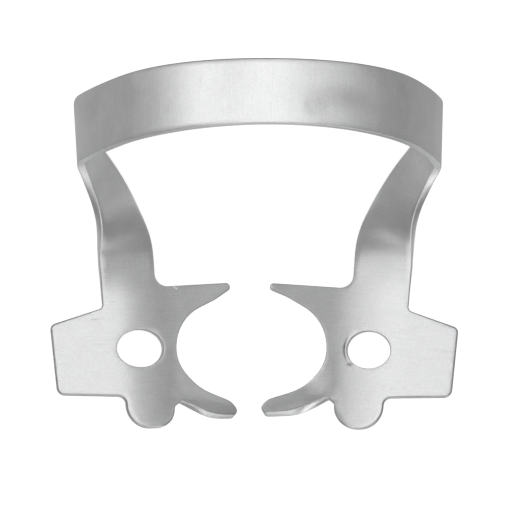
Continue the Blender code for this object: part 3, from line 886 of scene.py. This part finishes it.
    height = sums.math("MULTIPLY", grain, RELIEF_OF["grain"])
    height = sums.math("MULTIPLY_ADD", fine, RELIEF_OF["fine"], height)
    height = sums.math("MULTIPLY_ADD", speckle, RELIEF_OF["speckle"], height)
    height = sums.math("SUBTRACT", height, sums.math("MULTIPLY", scratch, RELIEF_OF["scratch"]))
    height = sums.math("SUBTRACT", height, sums.math("MULTIPLY", nick, RELIEF_OF["nick"]))
    height = sums.math("MULTIPLY_ADD", burr, RELIEF_OF["burr"], height)
    relief = {"Strength": BUMP_STRENGTH, "Distance": BUMP_DEPTH, "Height": height}
    bump = sums.add_node("ShaderNodeBump", relief)
    tree.links.new(bump.outputs[0], shader.inputs["Normal"])

    tangent = tree.nodes.new("ShaderNodeTangent")
    tangent.direction_type = "UV_MAP"
    tangent.uv_map = "sheet"
    tree.links.new(tangent.outputs[0], shader.inputs["Tangent"])
    return steel


def set_down(mesh):
    """Turn the clamp as it rests and move it onto the floor, in metres."""
    mesh.transform(Matrix.Scale(MM, 4) @ Matrix.Rotation(-math.radians(REST_TILT), 4, "X"))
    spots = np.array([vertex.co for vertex in mesh.vertices])
    low, high = spots.min(0), spots.max(0)
    solid_low, solid_high = (np.array(corner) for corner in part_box("clamp"))
    move = 0.5 * (solid_low + solid_high) - 0.5 * (low + high)
    move[2] = solid_low[2] - low[2]
    mesh.transform(Matrix.Translation(Vector(move)))


def make_clamp(steel):
    spine, count = make_spine()
    tree, inputs = bending(count)
    blank = bpy.data.objects.new("blank", make_blank())
    bpy.context.scene.collection.objects.link(blank)
    bend = blank.modifiers.new("bend", "NODES")
    bend.node_group = tree
    bend[inputs["Spine"]] = spine
    bend[inputs["Run"]] = RUN
    bend[inputs["Steel"]] = steel
    bpy.context.view_layer.update()
    shaped = blank.evaluated_get(bpy.context.evaluated_depsgraph_get())
    mesh = bpy.data.meshes.new_from_object(shaped)
    mesh.name = "steel_clamp"
    blank.modifiers.clear()
    for spare in (blank, spine):
        bpy.data.objects.remove(spare)
    set_down(mesh)
    clamp = bpy.data.objects.new("steel_clamp", mesh)
    bpy.context.scene.collection.objects.link(clamp)
    return clamp


def soft_box(name, place, size, level):
    """An area lamp aimed at the clamp, whose face has the given level, 1 being white."""
    lamp = bpy.data.lights.new(name, "AREA")
    lamp.shape = "RECTANGLE"
    lamp.size, lamp.size_y = size
    lamp.energy = level * math.pi * size[0] * size[1]
    box = bpy.data.objects.new(name, lamp)
    box.location = place
    box.rotation_mode = "QUATERNION"
    box.rotation_quaternion = (-place).to_track_quat("-Z", "Y")
    box.visible_camera = False
    bpy.context.scene.collection.objects.link(box)


def make_studio():
    world = bpy.data.worlds.new("studio")
    bpy.context.scene.world = world
    world.use_nodes = True
    back = world.node_tree.nodes["Background"]
    back.inputs["Color"].default_value = (1.0, 1.0, 1.0, 1.0)
    back.inputs["Strength"].default_value = WORLD_LEVEL

    mesh = bpy.data.meshes.new("floor")
    corners = [(x * FLOOR_HALF, y * FLOOR_HALF, 0.0) for x, y in ((-1, -1), (1, -1), (1, 1), (-1, 1))]
    mesh.from_pydata(corners, [], [(0, 1, 2, 3)])
    paper = bpy.data.materials.new("white_paper")
    paper.use_nodes = True
    shader = paper.node_tree.nodes["Principled BSDF"]
    shader.inputs["Base Color"].default_value = (PAPER, PAPER, PAPER, 1.0)
    shader.inputs["Roughness"].default_value = PAPER_ROUGHNESS
    shader.inputs["Specular IOR Level"].default_value = PAPER_SHEEN
    shader.inputs["Emission Color"].default_value = (1.0, 1.0, 1.0, 1.0)
    sums = Sums(paper.node_tree)
    path = paper.node_tree.nodes.new("ShaderNodeLightPath").outputs
    seen = sums.math("MAXIMUM", path["Is Camera Ray"], path["Is Transmission Ray"])
    place = sums.vector("DIVIDE", sums.add_node("ShaderNodeTexCoord").outputs["Object"], MIRROR_REACH)
    away = sums.add_node("ShaderNodeVectorMath", {0: place}, operation="LENGTH").outputs["Value"]
    near = sums.math("EXPONENT", sums.math("MULTIPLY", sums.math("MULTIPLY", away, away), -1.0))
    mirrored = sums.math("MULTIPLY", path["Is Glossy Ray"], sums.math("MULTIPLY", near, MIRROR_LIFT))
    lift = sums.math("MAXIMUM", sums.math("MULTIPLY", seen, FLOOR_LIFT), mirrored)
    paper.node_tree.links.new(lift, shader.inputs["Emission Strength"])
    mesh.materials.append(paper)
    floor = bpy.data.objects.new("floor", mesh)
    bpy.context.scene.collection.objects.link(floor)

    for name, toward, size, level in SOFT_BOXES:
        soft_box(name, LAMP_DISTANCE * Vector(toward).normalized(), size, level)


def make_camera():
    camera = bpy.data.cameras.new("camera")
    camera.sensor_width = SENSOR_WIDTH
    camera.lens = LENS
    camera.clip_start, camera.clip_end = CLIP
    stand = bpy.data.objects.new("camera", camera)
    stand.location = CAMERA_PLACE
    stand.rotation_euler = tuple(math.radians(angle) for angle in CAMERA_TURN)
    bpy.context.scene.collection.objects.link(stand)
    bpy.context.scene.camera = stand


steel = satin_steel()
clamp = make_clamp(steel)
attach(clamp, "root")
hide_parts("clamp")
make_studio()
make_camera()
bpy.context.scene.view_settings.view_transform = "Standard"
